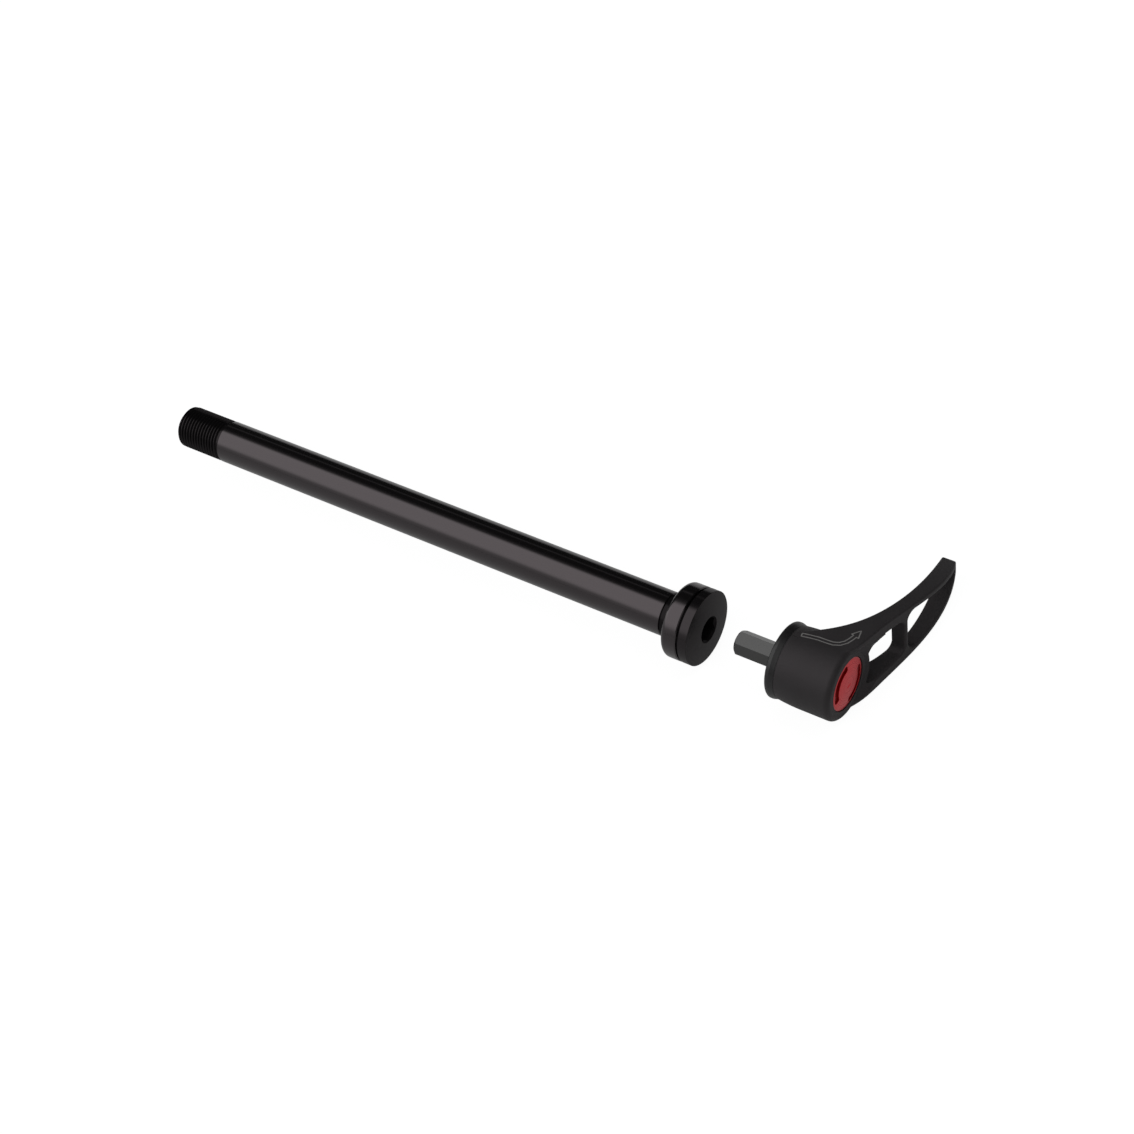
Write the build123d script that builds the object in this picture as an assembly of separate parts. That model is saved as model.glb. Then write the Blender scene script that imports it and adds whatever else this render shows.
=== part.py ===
from build123d import *
import os
from math import cos, pi, sin, sqrt

# Rear thru axle, 12 x 148 mm, with its plug-in ratchet lever drawn clear of the socket.
# Millimetres. The axle lies along X, the lever end is +X, and +Z is up.
# The origin is on the axle's axis, in the plane where the head clamps the frame.

# Axle
SHAFT_R = 6.0
UNDER_HEAD_LENGTH = 166.0
THREAD_LENGTH = 15.0
THREAD_CORE_R = 5.42
THREAD_END_CHAMFER = 0.35
SHAFT_CHAMFER = 0.4
BORE_R = 2.8
BORE_MOUTH_CHAMFER = 0.5
RELIEF_R = 5.7
RELIEF_LENGTH = 1.4
RELIEF_GAP = 0.2

# Head: a disc of the axle in front, and a washer that turns on it behind
HEAD_R = 10.2
HEAD_FRONT_X = 8.7
HEAD_BACK_X = 5.2
HEAD_FRONT_CHAMFER = 0.57
HEAD_BACK_CHAMFER = 0.3
WASHER_RIM_X = 4.75
WASHER_SPIGOT_R = 9.3
WASHER_BACK_ROUND = 1.4
WASHER_FRONT_CHAMFER = 0.25
WASHER_RING_X = 2.6
WASHER_RING_WIRE_R = 0.6
RING_ROOM = 0.3
RUN_CLEARANCE = 0.05
CLOSE_FIT = 0.03

# Hex drive
HEX_FLATS = 6.0
HEX_CLEARANCE = 0.05
HEX_TURN = 14.8
SOCKET_DEPTH = 14.0
SOCKET_SINK_R = 3.7
SOCKET_SINK_DEPTH = 0.9
PIN_LENGTH = 13.0
PIN_TIP_CHAMFER = 0.6

# Lever, drawn out of the socket along X
LEVER_X = 30.64
LEVER_TURN = -7.6
FLANGE_R = 10.2
FLANGE_THICKNESS = 2.5
FLANGE_ROUND = 0.7
FLANGE_LAND = 1.2
WAIST_R = 9.82
BOSS_R = 10.24
BOSS_LENGTH = 18.35
SWELL_LENGTH = 9.4
BOSS_END_ROUND = 1.5
FOOT_CHAMFER = 0.12

# Ratchet inside the boss, measured outward from the flange's face
RATCHET_TEETH = 24
TOOTH_ROOT_R = 5.8
TOOTH_TIP_R = 6.5
TOOTH_ROOT_SHARE = 0.33
TOOTH_TIP_SHARE = 0.17
TOOTH_GAP = 0.1
STEM_HEAD_START = 0.6
STEM_HEAD_END = 4.2
SLEEVE_TEETH_START = 0.8
SLEEVE_TEETH_END = 4.5
SLEEVE_END = 6.0
SLEEVE_R = 8.0
SLEEVE_MOUTH_R = 6.9
SHANK_R = 4.0
SHANK_END = 13.6
SPRING_ROOM_R = 7.0
THRUST_WASHER_R = 6.6
THRUST_WASHER_THICKNESS = 0.6
SPRING_R = 5.4
SPRING_WIRE_R = 0.4
SPRING_TURNS = 2.5
RETAINING_WASHER_R = 6.6
RETAINING_WASHER_THICKNESS = 1.0
SCREW_R = 2.0
SCREW_LENGTH = 8.0
SCREW_HEAD_R = 3.7
SCREW_HEAD_HEIGHT = 1.7
SCREW_HEAD_ROUND = 1.35
SCREW_HEX_FLATS = 2.5
SCREW_HEX_DEPTH = 1.2

# Red end cap, measured outward from the flange's face
CAP_R = 7.3
CAP_START = 16.8
CAP_END = 18.05
CAP_DOME = 0.5
CAP_RIM_CHAMFER = 0.2
CAP_TURN = 53.0
SLOT_INNER_R = 4.7
SLOT_OUTER_R = 6.4
SLOT_HALF_ANGLE = 55.0
SLOT_DEPTH = 0.25
SLOT_CORNER_R = 0.5
SKIRT_R = 6.7
SKIRT_BORE_R = 5.4
SKIRT_START = 14.9
SEAL_WIRE_R = 0.5
SEAL_R = 6.47
SEAL_X = 15.85

# Lever arm: x beyond the flange's face, and half width, each against the distance from the axis
ARM_REACH = 49.0
ARM_OUTER = [(17.2, 0.0), (19.2, 4.5), (20.85, 12.0), (23.35, 24.0), (24.82, 36.0), (22.5, ARM_REACH)]
ARM_INNER = [(2.8, 1.6), (7.1, 4.3), (14.6, 12.0), (19.25, 24.0), (20.1, 36.0), (18.5, ARM_REACH)]
ARM_SIDE = [(0.0, 10.12), (20.0, 9.03), (36.0, 5.92), (ARM_REACH, 1.92)]
ARM_EDGE_ROUND = 0.5
NEAR_RAIL = 3.4
FAR_RAIL = 1.85
WEB_START = 21.2
WEB_END = 22.7
WEB_CORNER_R = 2.4
NEAR_WINDOW_R = 9.7
NEAR_WINDOW_CORNER_R = 0.5
FAR_WINDOW_END = 46.8
FAR_WINDOW_TIP_R = 0.6
WINDOW_INNER_ROUND = 0.4
WINDOW_OUTER_ROUND = 0.65
DISH_X = 18.3
DISH_R = 8.6
DISH_EDGE_X = 21.5
DISH_EDGE_R = 14.0


def turned(*profile):
    """Solid turned about the axle's axis from (x, radius) corners."""
    return revolve(make_face(Polyline(*profile, close=True)), Axis.X)


def ring(x, radius, wire_radius):
    """Rubber ring of round section about the axle's axis."""
    return revolve(make_face(Pos(x, radius) * CenterArc((0, 0), wire_radius, 0, 360)), Axis.X)


def hexagon_bar(flats, start, end):
    """Hexagonal bar along X between two stations."""
    outline = RegularPolygon(flats / sqrt(3), 6, rotation=HEX_TURN)
    return extrude(Plane.YZ.offset(start) * outline, end - start)


def toothed_bar(gap, start, end):
    """Bar along X with the ratchet's straight-flanked teeth, grown by a gap on each face."""
    pitch = 2 * pi / RATCHET_TEETH
    root = TOOTH_ROOT_R + gap
    tip = TOOTH_TIP_R + gap
    flanks = [(-TOOTH_ROOT_SHARE, root), (-TOOTH_TIP_SHARE, tip), (TOOTH_TIP_SHARE, tip), (TOOTH_ROOT_SHARE, root)]
    corners = []
    for tooth in range(RATCHET_TEETH):
        for share, radius in flanks:
            side = 1 if share > 0 else -1
            angle = (tooth + share) * pitch + side * gap / radius
            corners.append((radius * cos(angle), radius * sin(angle)))
    return extrude(Plane.YZ.offset(start) * make_face(Polyline(*corners, close=True)), end - start)


def end_rims(solid, at_end=True):
    """Circular edges at the far or the near end of a turned solid."""
    return solid.edges().filter_by(GeomType.CIRCLE).group_by(Axis.X)[-1 if at_end else 0]


def axle_shaft():
    """Shaft, threaded end and front disc of the head, with the hex socket and the bore."""
    end = -UNDER_HEAD_LENGTH
    thread_start = end + THREAD_LENGTH
    relief_end = -RELIEF_GAP
    relief_start = relief_end - RELIEF_LENGTH
    groove_reach = WASHER_RING_WIRE_R + CLOSE_FIT
    groove_r = SHAFT_R - groove_reach
    body = turned(
        (end, BORE_R + BORE_MOUTH_CHAMFER),
        (end, THREAD_CORE_R - THREAD_END_CHAMFER),
        (end + THREAD_END_CHAMFER, THREAD_CORE_R),
        (thread_start, THREAD_CORE_R),
        (thread_start + SHAFT_CHAMFER, SHAFT_R),
        (relief_start, SHAFT_R),
        (relief_start, RELIEF_R),
        (relief_end, RELIEF_R),
        (relief_end, SHAFT_R),
        (WASHER_RING_X - groove_reach, SHAFT_R),
        (WASHER_RING_X - groove_reach, groove_r),
        (WASHER_RING_X + groove_reach, groove_r),
        (WASHER_RING_X + groove_reach, SHAFT_R),
        (HEAD_BACK_X, SHAFT_R),
        (HEAD_BACK_X, HEAD_R - HEAD_BACK_CHAMFER),
        (HEAD_BACK_X + HEAD_BACK_CHAMFER, HEAD_R),
        (HEAD_FRONT_X - HEAD_FRONT_CHAMFER, HEAD_R),
        (HEAD_FRONT_X, HEAD_R - HEAD_FRONT_CHAMFER),
        (HEAD_FRONT_X, BORE_R),
        (end + BORE_MOUTH_CHAMFER, BORE_R),
    )
    socket = hexagon_bar(HEX_FLATS + 2 * HEX_CLEARANCE, HEAD_FRONT_X - SOCKET_DEPTH, HEAD_FRONT_X)
    sink_start = HEAD_FRONT_X - SOCKET_SINK_DEPTH
    sink = turned(
        (sink_start, 0),
        (sink_start, SOCKET_SINK_R - SOCKET_SINK_DEPTH),
        (HEAD_FRONT_X, SOCKET_SINK_R),
        (HEAD_FRONT_X, 0),
    )
    return body - socket - sink


def clamp_washer():
    """Rear disc of the head, turning on the shaft, with a spigot that leaves the groove in front."""
    bore = SHAFT_R + RUN_CLEARANCE
    front = HEAD_BACK_X - RUN_CLEARANCE
    room = WASHER_RING_WIRE_R + RING_ROOM
    disc = turned(
        (0, bore),
        (0, HEAD_R),
        (WASHER_RIM_X - WASHER_FRONT_CHAMFER, HEAD_R),
        (WASHER_RIM_X, HEAD_R - WASHER_FRONT_CHAMFER),
        (WASHER_RIM_X, WASHER_SPIGOT_R),
        (front, WASHER_SPIGOT_R),
        (front, bore),
        (WASHER_RING_X + room, bore),
        (WASHER_RING_X + room, SHAFT_R + room),
        (WASHER_RING_X - room, SHAFT_R + room),
        (WASHER_RING_X - room, bore),
    )
    back_rim = end_rims(disc, at_end=False).sort_by(SortBy.RADIUS)[-1]
    return fillet(back_rim, WASHER_BACK_ROUND)


def washer_ring():
    """Rubber ring that keeps the washer on the shaft."""
    return ring(WASHER_RING_X, SHAFT_R, WASHER_RING_WIRE_R)


def hex_stem():
    """Hex pin, toothed head and shank, with the hole for the retaining screw."""
    pin_start = LEVER_X - PIN_LENGTH
    head_start = LEVER_X + STEM_HEAD_START
    head_end = LEVER_X + STEM_HEAD_END
    shank_end = LEVER_X + SHANK_END
    corner_r = HEX_FLATS / sqrt(3)
    pin = hexagon_bar(HEX_FLATS, pin_start, head_start)
    pin &= turned(
        (pin_start, 0),
        (pin_start, corner_r - PIN_TIP_CHAMFER),
        (pin_start + PIN_TIP_CHAMFER, corner_r),
        (head_start, corner_r),
        (head_start, 0),
    )
    head = toothed_bar(0, head_start, head_end)
    shank = turned((head_end, 0), (head_end, SHANK_R), (shank_end, SHANK_R), (shank_end, 0))
    hole_start = shank_end - SCREW_LENGTH - SCREW_R
    hole_r = SCREW_R + CLOSE_FIT
    hole = turned((hole_start, 0), (hole_start + hole_r, hole_r), (shank_end, hole_r), (shank_end, 0))
    return pin + head + shank - hole


def ratchet_sleeve():
    """Flange at the foot of the boss and the sleeve with the inner teeth, pressed into the boss."""
    mouth_end = LEVER_X + SLEEVE_TEETH_START
    teeth_end = LEVER_X + SLEEVE_TEETH_END
    flange_end = LEVER_X + FLANGE_THICKNESS
    sleeve_end = LEVER_X + SLEEVE_END
    shank_hole = SHANK_R + RUN_CLEARANCE
    blank = turned(
        (LEVER_X, 0),
        (LEVER_X, FLANGE_R),
        (LEVER_X + FLANGE_LAND, FLANGE_R),
        (flange_end, WAIST_R),
        (flange_end, SLEEVE_R - CLOSE_FIT),
        (sleeve_end, SLEEVE_R - CLOSE_FIT),
        (sleeve_end, 0),
    )
    blank = fillet(end_rims(blank, at_end=False), FLANGE_ROUND)
    mouth = turned((LEVER_X, 0), (LEVER_X, SLEEVE_MOUTH_R), (mouth_end, SLEEVE_MOUTH_R), (mouth_end, 0))
    teeth = toothed_bar(TOOTH_GAP, LEVER_X, teeth_end)
    hole = turned((LEVER_X, 0), (LEVER_X, shank_hole), (sleeve_end, shank_hole), (sleeve_end, 0))
    return blank - mouth - teeth - hole


def arm_plan(rail=0.0):
    """The arm seen along the axle, from the boss's middle towards its tip, less a rail on each side."""
    knots = [(station, half - rail) for station, half in ARM_SIDE if half > rail]
    upper = Spline(*knots)
    lower = mirror(upper, Plane.XZ)
    tip = Line(upper @ 1, lower @ 1)
    root = Line(lower @ 0, upper @ 0)
    return make_face([upper, tip, lower, root])


def arm_profile():
    """The arm seen across the lever: x beyond the flange's face against the distance from the axis."""
    outer = Spline(*ARM_OUTER)
    inner = Spline(*ARM_INNER)
    tip = Line(outer @ 1, inner @ 1)
    root = Polyline(inner @ 0, (ARM_INNER[0][0], 0), outer @ 0)
    return make_face([outer, tip, inner, root])


def arm_window(rail, start, end):
    """Outline of an opening between two stations of the arm, inside its rails."""
    return arm_plan(rail) & Pos((start + end) / 2, 0) * Rectangle(end - start, 2 * BOSS_R)


def arm_windows():
    """Openings through the arm: one next to the boss and one that runs out to the tip."""
    near = arm_window(NEAR_RAIL, 0, WEB_START) - Circle(NEAR_WINDOW_R)
    near = fillet(near.vertices().group_by(Axis.X)[-1], WEB_CORNER_R)
    near = fillet(near.vertices().group_by(Axis.X)[0], NEAR_WINDOW_CORNER_R)
    far = arm_window(FAR_RAIL, WEB_END, FAR_WINDOW_END)
    far = fillet(far.vertices().group_by(Axis.X)[0], WEB_CORNER_R)
    far = fillet(far.vertices().group_by(Axis.X)[-1], FAR_WINDOW_TIP_R)
    return near, far


def window_edges(block, outward):
    """Edges of the windows on the arm's outer or inner face."""
    sides = block.faces().filter_by(lambda face: face.inner_wires())
    side = sides.sort_by(Axis.X)[-1 if outward else 0]
    return [edge for wire in side.inner_wires() for edge in wire.edges()]


def lever_arm():
    """Windowed arm with rounded edges, running into the boss."""
    seen_along = Plane.YZ.offset(LEVER_X)
    block = extrude(Pos(LEVER_X, 0, -BOSS_R) * arm_profile(), 2 * BOSS_R)
    block &= extrude(seen_along * arm_plan(), ARM_REACH)
    long_edges = block.edges().filter_by(lambda edge: edge.length > ARM_REACH)
    block = fillet(long_edges + block.edges().group_by(Axis.Y)[-1], ARM_EDGE_ROUND)
    for window in arm_windows():
        block -= extrude(seen_along * window, ARM_REACH)
    block = fillet(window_edges(block, outward=False), WINDOW_INNER_ROUND)
    return fillet(window_edges(block, outward=True), WINDOW_OUTER_ROUND)


def lever_body():
    """Boss and arm in one forging, bored for the ratchet, the spring and the cap."""
    foot = LEVER_X + FLANGE_THICKNESS
    sleeve_end = LEVER_X + SLEEVE_END
    cap_seat = LEVER_X + CAP_START
    cap_r = CAP_R + CLOSE_FIT
    dish = LEVER_X + DISH_X
    dish_edge = LEVER_X + DISH_EDGE_X
    boss_end = LEVER_X + BOSS_LENGTH
    swell_end = LEVER_X + SWELL_LENGTH
    swell = TangentArc((swell_end, BOSS_R), (foot, WAIST_R), tangent=(-1, 0))
    outline = Polyline((foot, WAIST_R), (foot, 0), (boss_end, 0), (boss_end, BOSS_R), (swell_end, BOSS_R))
    boss = revolve(make_face([swell, outline]), Axis.X)
    boss = chamfer(end_rims(boss, at_end=False), FOOT_CHAMFER)
    boss = fillet(end_rims(boss), BOSS_END_ROUND)
    bores = turned(
        (foot, 0),
        (foot, SLEEVE_R),
        (sleeve_end, SLEEVE_R),
        (sleeve_end, SPRING_ROOM_R),
        (cap_seat, SPRING_ROOM_R),
        (cap_seat, cap_r),
        (dish, cap_r),
        (dish, DISH_R),
        (dish_edge, DISH_EDGE_R),
        (dish_edge, 0),
    )
    return Rot(X=LEVER_TURN) * (boss + lever_arm() - bores)


def thrust_washer():
    """Washer between the sleeve and the spring."""
    start = LEVER_X + SLEEVE_END + CLOSE_FIT
    end = start + THRUST_WASHER_THICKNESS
    hole = SHANK_R + RUN_CLEARANCE
    return turned((start, hole), (start, THRUST_WASHER_R), (end, THRUST_WASHER_R), (end, hole))


def return_spring():
    """Round-wire spring between the thrust washer and the retaining washer."""
    start = LEVER_X + SLEEVE_END + THRUST_WASHER_THICKNESS + SPRING_WIRE_R + 2 * CLOSE_FIT
    end = LEVER_X + SHANK_END - SPRING_WIRE_R - CLOSE_FIT
    height = end - start
    path = Helix(height / SPRING_TURNS, height, SPRING_R, center=(start, 0, 0), direction=(1, 0, 0))
    section = Plane(path @ 0, z_dir=path % 0) * Circle(SPRING_WIRE_R)
    return sweep(section, path, is_frenet=True)


def retaining_washer():
    """Washer on the end of the shank that holds the spring."""
    start = LEVER_X + SHANK_END
    end = start + RETAINING_WASHER_THICKNESS
    hole = SCREW_R + CLOSE_FIT
    return turned((start, hole), (start, RETAINING_WASHER_R), (end, RETAINING_WASHER_R), (end, hole))


def retaining_screw():
    """Button-head screw into the end of the shank."""
    seat = LEVER_X + SHANK_END + RETAINING_WASHER_THICKNESS
    top = seat + SCREW_HEAD_HEIGHT
    tip = seat - RETAINING_WASHER_THICKNESS - SCREW_LENGTH
    shank = turned((tip, 0), (tip, SCREW_R), (seat, SCREW_R), (seat, 0))
    head = turned((seat, 0), (seat, SCREW_HEAD_R), (top, SCREW_HEAD_R), (top, 0))
    head = fillet(end_rims(head), SCREW_HEAD_ROUND)
    return shank + head - hexagon_bar(SCREW_HEX_FLATS, top - SCREW_HEX_DEPTH, top)


def cap_slot():
    """Outline of one curved slot in the cap's face, in the direction of its own X."""
    reach = 2 * SLOT_OUTER_R
    half = SLOT_HALF_ANGLE * pi / 180
    corner = (reach * cos(half), reach * sin(half))
    wedge = make_face(Polyline((0, 0), corner, (corner[0], -corner[1]), close=True))
    slot = (Circle(SLOT_OUTER_R) - Circle(SLOT_INNER_R)) & wedge
    return fillet(slot.vertices(), SLOT_CORNER_R)


def end_cap():
    """Red cap: a domed disc with two curved slots, and a skirt with the seal's groove."""
    seat = LEVER_X + CAP_START
    top = LEVER_X + CAP_END
    apex = top + CAP_DOME
    skirt = LEVER_X + SKIRT_START
    seal = LEVER_X + SEAL_X
    groove_reach = SEAL_WIRE_R + CLOSE_FIT
    groove_r = SEAL_R - groove_reach
    blank = turned(
        (skirt, SKIRT_BORE_R),
        (skirt, SKIRT_R),
        (seal - groove_reach, SKIRT_R),
        (seal - groove_reach, groove_r),
        (seal + groove_reach, groove_r),
        (seal + groove_reach, SKIRT_R),
        (seat, SKIRT_R),
        (seat, CAP_R),
        (top - CAP_RIM_CHAMFER, CAP_R),
        (top, CAP_R - CAP_RIM_CHAMFER),
        (top, 0),
        (seat, 0),
        (seat, SKIRT_BORE_R),
    )
    dome_edge = (top, CAP_R - CAP_RIM_CHAMFER)
    dome = TangentArc((apex, 0), dome_edge, tangent=(0, 1))
    blank += revolve(make_face([dome, Polyline(dome_edge, (top, 0), (apex, 0))]), Axis.X)
    for turn in (CAP_TURN + 90, CAP_TURN - 90):
        slot = Plane.YZ.offset(top - SLOT_DEPTH) * Rot(Z=turn) * cap_slot()
        blank -= extrude(slot, SLOT_DEPTH + CAP_DOME)
    return Rot(X=LEVER_TURN) * blank


def cap_seal():
    """Rubber ring between the cap's skirt and the boss."""
    return ring(LEVER_X + SEAL_X, SEAL_R, SEAL_WIRE_R)


PIECES = [
    axle_shaft, clamp_washer, washer_ring,
    hex_stem, return_spring, retaining_washer, retaining_screw, thrust_washer,
    lever_body, ratchet_sleeve, end_cap, cap_seal,
]

os.makedirs("parts", exist_ok=True)
for piece in PIECES:
    export_step(piece(), f"parts/{piece.__name__}.step")
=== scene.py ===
import logging
import math
from abc import ABC, abstractmethod
from dataclasses import dataclass
from enum import Enum
from typing import Any, Dict, List, Optional, Sequence, Tuple, Union

import bmesh
import bpy
from mathutils import Matrix, Vector
from mathutils.bvhtree import BVHTree


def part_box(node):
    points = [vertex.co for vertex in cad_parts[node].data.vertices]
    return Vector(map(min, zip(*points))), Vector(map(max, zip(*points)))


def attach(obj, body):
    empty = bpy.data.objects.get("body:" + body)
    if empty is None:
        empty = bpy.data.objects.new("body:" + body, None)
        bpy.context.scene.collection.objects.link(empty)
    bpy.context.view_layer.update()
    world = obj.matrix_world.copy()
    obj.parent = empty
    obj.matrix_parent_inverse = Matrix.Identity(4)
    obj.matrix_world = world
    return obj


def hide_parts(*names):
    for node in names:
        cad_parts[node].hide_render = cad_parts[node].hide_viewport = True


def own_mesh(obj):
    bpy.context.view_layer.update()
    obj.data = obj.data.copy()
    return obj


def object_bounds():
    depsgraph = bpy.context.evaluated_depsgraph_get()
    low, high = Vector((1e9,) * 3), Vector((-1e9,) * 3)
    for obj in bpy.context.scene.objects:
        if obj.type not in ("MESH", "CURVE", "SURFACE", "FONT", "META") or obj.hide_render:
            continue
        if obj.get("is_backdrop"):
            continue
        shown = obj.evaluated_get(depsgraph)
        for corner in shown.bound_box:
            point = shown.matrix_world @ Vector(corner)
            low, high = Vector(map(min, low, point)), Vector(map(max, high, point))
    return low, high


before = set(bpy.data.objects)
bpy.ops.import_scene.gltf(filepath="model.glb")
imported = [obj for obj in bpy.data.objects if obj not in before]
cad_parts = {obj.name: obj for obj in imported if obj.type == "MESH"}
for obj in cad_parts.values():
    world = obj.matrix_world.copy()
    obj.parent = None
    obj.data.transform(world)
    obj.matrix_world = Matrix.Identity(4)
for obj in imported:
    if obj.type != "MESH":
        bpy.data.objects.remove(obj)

LOG = logging.getLogger("thru_axle")
MM = 0.001
FULL_TURN = 2.0 * math.pi
DEGREES_PER_TURN = 360.0
SHARP_ANGLE = math.radians(30.0)
ANODISE_TINT = (1.0, 0.88, 0.92, 1.0)
MIX_SHARE = 0
MIX_FIRST = 6
MIX_SECOND = 7
MIX_RESULT = 2

Colour = Tuple[float, float, float]
Operand = Union["Value", float]


class Body(Enum):
    """Rigid bodies that carry the pieces made here."""

    AXLE = "axle"
    STEM = "stem"
    LEVER = "lever"


class Slot(Enum):
    """Material slots of the pieces made here."""

    BLACK_ANODISED = "black_anodised"
    SATIN_BLACK = "satin_black"
    SPRING_STEEL = "spring_steel"


class Face(Enum):
    """Broad faces of the lever's arm, by the way along the axis in which a ray meets them."""

    OUTER = -1.0
    INNER = 1.0


class Value:
    """A shader socket that takes part in Python arithmetic."""

    def __init__(self, graph: "Graph", socket: Optional[bpy.types.NodeSocket]) -> None:
        """Keep the socket and the graph that owns it."""
        self.graph = graph
        self.socket = socket

    def __add__(self, other: Operand) -> "Value":
        """Sum."""
        return self.graph.math("ADD", self, other)

    def __radd__(self, other: Operand) -> "Value":
        """Sum, with the number in front."""
        return self.graph.math("ADD", other, self)

    def __sub__(self, other: Operand) -> "Value":
        """Difference."""
        return self.graph.math("SUBTRACT", self, other)

    def __rsub__(self, other: Operand) -> "Value":
        """Difference, with the number in front."""
        return self.graph.math("SUBTRACT", other, self)

    def __mul__(self, other: Operand) -> "Value":
        """Product."""
        return self.graph.math("MULTIPLY", self, other)

    def __rmul__(self, other: Operand) -> "Value":
        """Product, with the number in front."""
        return self.graph.math("MULTIPLY", other, self)

    def __gt__(self, other: Operand) -> "Value":
        """1 where this is the larger, otherwise 0."""
        return self.graph.math("GREATER_THAN", self, other)

    def __lt__(self, other: Operand) -> "Value":
        """1 where this is the smaller, otherwise 0."""
        return self.graph.math("LESS_THAN", self, other)


@dataclass(frozen=True)
class Pattern:
    """Scale, per millimetre, and detail of a noise pattern."""

    scale: float
    detail: float


@dataclass(frozen=True)
class Marks:
    """How strongly a pattern stands out from a surface, and its full depth in millimetres."""

    strength: float
    depth: float


class Graph:
    """The node tree of one material or of the world."""

    def __init__(self, tree: bpy.types.NodeTree) -> None:
        """Start from an empty tree."""
        self.tree = tree
        tree.nodes.clear()

    def node(
        self,
        kind: str,
        settings: Optional[Dict[str, Any]] = None,
        values: Optional[Dict[Union[str, int], Any]] = None,
        output: Union[str, int] = 0,
    ) -> Value:
        """Add a node of any kind.

        Args:
            kind: the node's type.
            settings: properties, set first; "stops" holds a ramp's (place, colour) pairs.
            values: numbers or links for its sockets.
            output: the output that is returned.

        Returns:
            The chosen output, ready for arithmetic, without a socket if the node has no outputs.
        """
        made = self.tree.nodes.new(kind)
        for name, setting in (settings or {}).items():
            if name == "stops":
                self._set_stops(made, setting)
            else:
                setattr(made, name, setting)
        for socket, value in (values or {}).items():
            if isinstance(value, Value):
                self.tree.links.new(value.socket, made.inputs[socket])
            else:
                made.inputs[socket].default_value = value
        return Value(self, made.outputs[output] if len(made.outputs) else None)

    @staticmethod
    def _set_stops(made: bpy.types.Node, stops: Sequence[Tuple[float, Colour]]) -> None:
        """Give a ramp its stops.

        Args:
            made: the ramp's node.
            stops: places from 0 to 1 with their colours.
        """
        elements = made.color_ramp.elements
        while len(elements) < len(stops):
            elements.new(1.0)
        for element, (place, colour) in zip(elements, stops):
            element.position = place
            element.color = (*colour, 1.0)

    def math(self, operation: str, *operands: Operand) -> Value:
        """Add a Math node.

        Args:
            operation: its operation.
            operands: sockets or numbers, in order.

        Returns:
            Its result.
        """
        return self.node("ShaderNodeMath", {"operation": operation}, dict(enumerate(operands)))

    def smooth_step(self, value: Value, low: float, high: float) -> Value:
        """Rise from 0 at low to 1 at high, with soft ends."""
        settings = {"interpolation_type": "SMOOTHSTEP"}
        return self.node("ShaderNodeMapRange", settings, {"Value": value, "From Min": low, "From Max": high})

    def mix(self, share: Value, first: Any, second: Any) -> Value:
        """Blend two colours by a share from 0 to 1."""
        values = {MIX_SHARE: share, MIX_FIRST: self._rgba(first), MIX_SECOND: self._rgba(second)}
        return self.node("ShaderNodeMix", {"data_type": "RGBA"}, values, output=MIX_RESULT)

    @staticmethod
    def _rgba(colour: Any) -> Any:
        """Add alpha to a plain colour and pass a socket on."""
        return colour if isinstance(colour, Value) else (*colour, 1.0)

    def place(self) -> Value:
        """The point's place in the row's frame, in millimetres."""
        point = self.node("ShaderNodeTexCoord", output="Object")
        return self.node("ShaderNodeVectorMath", {"operation": "SCALE"}, {0: point, "Scale": 1.0 / MM})

    def axes(self, vector: Value) -> Tuple[Value, Value, Value]:
        """Split a vector into its three parts."""
        first = self.node("ShaderNodeSeparateXYZ", None, {0: vector})
        return tuple(Value(self, socket) for socket in first.socket.node.outputs)

    def from_axis(self, y: Value, z: Value) -> Value:
        """Distance from the axle's axis."""
        return self.math("SQRT", y * y + z * z)

    def noise(self, vector: Value, pattern: Pattern) -> Value:
        """Cloudy noise with a mean of about a half."""
        values = {"Vector": vector, "Scale": pattern.scale, "Detail": pattern.detail}
        return self.node("ShaderNodeTexNoise", None, values)

    def lines(self, along: Value, pattern: Pattern) -> Value:
        """Noise that changes along one measure only, such as tool marks."""
        values = {"W": along, "Scale": pattern.scale, "Detail": pattern.detail}
        return self.node("ShaderNodeTexNoise", {"noise_dimensions": "1D"}, values)

    def bump(self, height: Value, marks: Marks) -> Value:
        """Normal of a surface on which a height from 0 to 1 stands out."""
        values = {"Height": height, "Strength": marks.strength, "Distance": marks.depth * MM}
        return self.node("ShaderNodeBump", None, values)


@dataclass(frozen=True)
class Finish(ABC):
    """A named surface finish."""

    name: str

    @abstractmethod
    def sockets(self, graph: Graph) -> Dict[str, Any]:
        """Values and links of the surface shader's sockets."""

    def surface(self, graph: Graph) -> Value:
        """The surface shader."""
        return graph.node("ShaderNodeBsdfPrincipled", None, self.sockets(graph))

    def material(self) -> bpy.types.Material:
        """Build the finish as a material, once.

        Returns:
            The material.
        """
        known = bpy.data.materials.get(self.name)
        if known:
            return known
        made = bpy.data.materials.new(self.name)
        made.use_nodes = True
        graph = Graph(made.node_tree)
        graph.node("ShaderNodeOutputMaterial", None, {"Surface": self.surface(graph)})
        return made


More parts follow.
